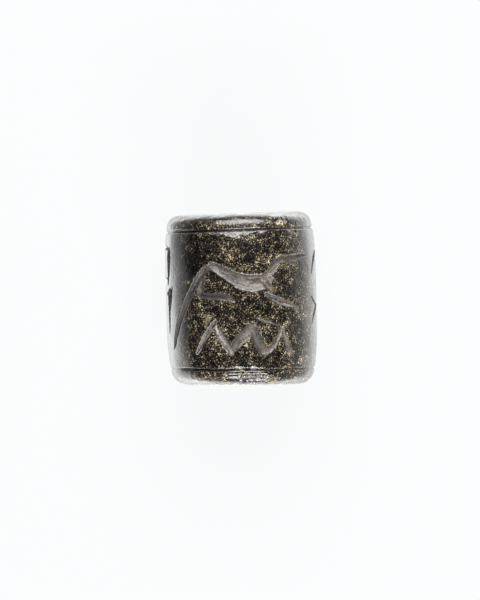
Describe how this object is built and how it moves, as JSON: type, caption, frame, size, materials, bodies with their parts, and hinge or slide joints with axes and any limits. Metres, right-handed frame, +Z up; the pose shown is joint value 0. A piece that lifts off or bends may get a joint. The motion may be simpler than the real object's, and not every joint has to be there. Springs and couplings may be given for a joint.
{
  "type": "cylinder seal",
  "caption": "Squat dark stone cylinder seal with rounded ends, bored lengthwise for a cord, a long-tailed beast over a zigzag engraved between two ruled lines; it lies on a small flat.",
  "frame": {"origin": "middle of the bounding box's underside, on the small flat that the seal rests on", "axes": "+Y along the seal's axis towards the end with the plain rim above the beast, +Z up through the face with the beast, +X towards the beast's head"},
  "size_m": [0.0176, 0.0202, 0.0175],
  "materials": {
    "speckled_dark_stone": "black-brown stone densely speckled with pale yellow, polished by handling, the cuts duller and greyer with some orange-brown earth"
  },
  "bodies": {
    "root": {"seal_stone": "speckled_dark_stone"}
  },
  "joints": []
}
